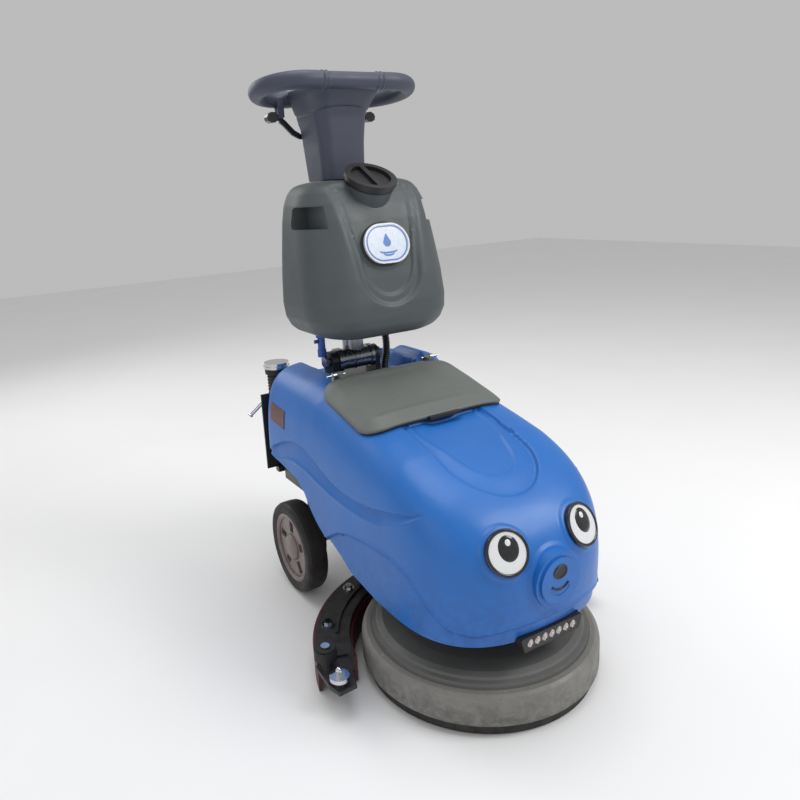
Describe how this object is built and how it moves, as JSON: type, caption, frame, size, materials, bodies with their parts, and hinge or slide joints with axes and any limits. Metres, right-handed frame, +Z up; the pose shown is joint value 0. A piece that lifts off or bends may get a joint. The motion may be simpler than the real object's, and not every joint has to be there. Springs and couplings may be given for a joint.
{
  "type": "floor scrubber-dryer",
  "caption": "Compact walk-behind scrubber-dryer: round brush deck, curved squeegee, hollow body with lidded recovery tank, folding column with clean water tank and loop handlebar.",
  "frame": {"origin": "on the floor, under the middle of the machine's bounding box", "axes": "+Z up; -Y towards the front (brush deck), +Y towards the handle and the operator; +X to the left when looking at the front face, which is the operator's right"},
  "size_m": [0.612, 0.786, 1.0776],
  "materials": {
    "body_blue": "satin rotomoulded polyethylene",
    "black_plastic": "fine texture",
    "frame_paint": "black powder coat",
    "tank_grey": "fine rotomoulded texture",
    "lid_grey": "fine rotomoulded texture",
    "deck_grey": "painted, scuffed on the rim",
    "deck_dark": "moulded cover",
    "skirt_rubber": "moulded strip",
    "blade_rubber": "red-brown squeegee rubber",
    "tyre_rubber": "smooth tread",
    "rim_taupe": "moulded wheel centre",
    "steel": "zinc plated",
    "chrome": "plated",
    "motor_paint": "satin",
    "handle_navy": "satin navy-grey moulding",
    "bezel_dark": "gloss",
    "white_plastic": "gloss",
    "lens": "moulded lamp lens",
    "battery_case": "moulded case",
    "brush_bristle": "nylon tufts",
    "alu": "cast, machined bore",
    "badge": "printed plate",
    "green_plastic": "rocker cap",
    "blue_plastic": "rocker cap"
  },
  "bodies": {
    "chassis": {"chassis_frame": "frame_paint", "body_shell": "body_blue", "recovery_tank": "black_plastic", "battery_pack": "battery_case", "vacuum_motor": "motor_paint", "brush_gearmotor": "motor_paint", "deck_housing": "deck_grey", "deck_upper": "deck_dark", "splash_skirt": "skirt_rubber", "rear_axle": "steel", "headlight_housing": "black_plastic", "headlight_lenses": "lens", "eye_bezels": "bezel_dark", "eye_discs": "white_plastic", "nose_boss": "body_blue", "float_valve": "white_plastic", "suction_hose": "black_plastic", "drain_hose": "skirt_rubber", "pivot_bracket": "frame_paint", "pivot_pin": "steel", "cable_conduit": "black_plastic", "charge_socket": "black_plastic", "lid_hinge": "steel", "frame_bolts": "steel"},
    "brush": {"brush_plate": "deck_dark", "brush_bristles": "brush_bristle", "drive_shaft": "steel"},
    "wheel_left": {"tyre_left": "tyre_rubber", "rim_left": "rim_taupe", "hubcap_left": "rim_taupe"},
    "wheel_right": {"tyre_right": "tyre_rubber", "rim_right": "rim_taupe", "hubcap_right": "rim_taupe"},
    "lid": {"tank_lid": "lid_grey", "lid_gasket": "skirt_rubber", "lid_latch": "black_plastic"},
    "squeegee": {"squeegee_body": "black_plastic", "squeegee_front_blade": "blade_rubber", "squeegee_rear_blade": "blade_rubber", "squeegee_clamps": "chrome", "squeegee_carriage": "frame_paint"},
    "roller_left": {"bumper_roller_left": "skirt_rubber"},
    "roller_right": {"bumper_roller_right": "skirt_rubber"},
    "drain_plug": {"drain_cap": "chrome"},
    "lever": {"lift_lever": "chrome"},
    "handle": {"column_tube": "frame_paint", "pivot_barrel": "alu", "clean_tank": "tank_grey", "tank_badge": "badge", "outlet_valve": "blue_plastic", "handle_cover": "handle_navy", "handlebar": "handle_navy", "control_panel": "black_plastic"},
    "filler": {"cap_seal": "skirt_rubber", "filler_cap": "tank_grey"},
    "trigger_l": {"trigger_left": "bezel_dark"},
    "trigger_r": {"trigger_right": "bezel_dark"},
    "key": {"key_switch": "steel"},
    "rocker_brush": {"brush_switch": "green_plastic"},
    "rocker_water": {"water_switch": "blue_plastic"}
  },
  "joints": [
    {"name": "brush_spin", "type": "hinge", "parent": "chassis", "child": "brush", "pos_m": [0, -0.178, 0.05], "axis": [0, 0, 1], "continuous": true},
    {"name": "wheel_left_spin", "type": "hinge", "parent": "chassis", "child": "wheel_left", "pos_m": [-0.171, 0.228, 0.1], "axis": [1, 0, 0], "continuous": true},
    {"name": "wheel_right_spin", "type": "hinge", "parent": "chassis", "child": "wheel_right", "pos_m": [0.171, 0.228, 0.1], "axis": [1, 0, 0], "continuous": true},
    {"name": "lid_open", "type": "hinge", "parent": "chassis", "child": "lid", "pos_m": [0, 0.107, 0.502], "axis": [-1, 0, 0], "range_deg": [0, 55]},
    {"name": "squeegee_lift", "type": "slide", "parent": "chassis", "child": "squeegee", "axis": [0, 0, 1], "range_m": [0, 0.03], "deforming": ["suction_hose"]},
    {"name": "roller_left_spin", "type": "hinge", "parent": "squeegee", "child": "roller_left", "pos_m": [-0.286, -0.121, 0.083], "axis": [0, 0, 1], "continuous": true},
    {"name": "roller_right_spin", "type": "hinge", "parent": "squeegee", "child": "roller_right", "pos_m": [0.286, -0.121, 0.083], "axis": [0, 0, 1], "continuous": true},
    {"name": "drain_cap_pull", "type": "slide", "parent": "chassis", "child": "drain_plug", "axis": [0, 0, 1], "range_m": [0, 0.04]},
    {"name": "lever_turn", "type": "hinge", "parent": "chassis", "child": "lever", "pos_m": [-0.174, 0.346, 0.408], "axis": [0, 1, 0], "range_deg": [0, 46]},
    {"name": "handle_fold", "type": "hinge", "parent": "chassis", "child": "handle", "pos_m": [0, 0.227, 0.5], "axis": [-1, 0, 0], "range_deg": [0, 45], "deforming": ["cable_conduit"]},
    {"name": "filler_cap_lift", "type": "slide", "parent": "handle", "child": "filler", "axis": [0, -0.4924, 0.8704], "range_m": [0, 0.05]},
    {"name": "trigger_left_pull", "type": "hinge", "parent": "handle", "child": "trigger_l", "pos_m": [-0.096, 0.309, 1.013], "axis": [0, 1, 0], "range_deg": [0, 8], "stiffness_Nm_per_rad": 0.3, "springref_deg": -6.88},
    {"name": "trigger_right_pull", "type": "hinge", "parent": "handle", "child": "trigger_r", "pos_m": [0.096, 0.309, 1.013], "axis": [0, -1, 0], "range_deg": [0, 8], "stiffness_Nm_per_rad": 0.3, "springref_deg": -6.88},
    {"name": "key_turn", "type": "hinge", "parent": "handle", "child": "key", "pos_m": [-0.04, 0.266, 1.062], "axis": [0, 0, 1], "range_deg": [0, 90]},
    {"name": "brush_switch_rock", "type": "hinge", "parent": "handle", "child": "rocker_brush", "pos_m": [0, 0.2663, 1.0585], "axis": [1, 0, 0], "range_deg": [-8, 8]},
    {"name": "water_switch_rock", "type": "hinge", "parent": "handle", "child": "rocker_water", "pos_m": [0.032, 0.2663, 1.0585], "axis": [1, 0, 0], "range_deg": [-8, 8]}
  ],
  "couplings": [
    {"joint": "lever_turn", "follows": "squeegee_lift", "rad_per_m": 26}
  ]
}
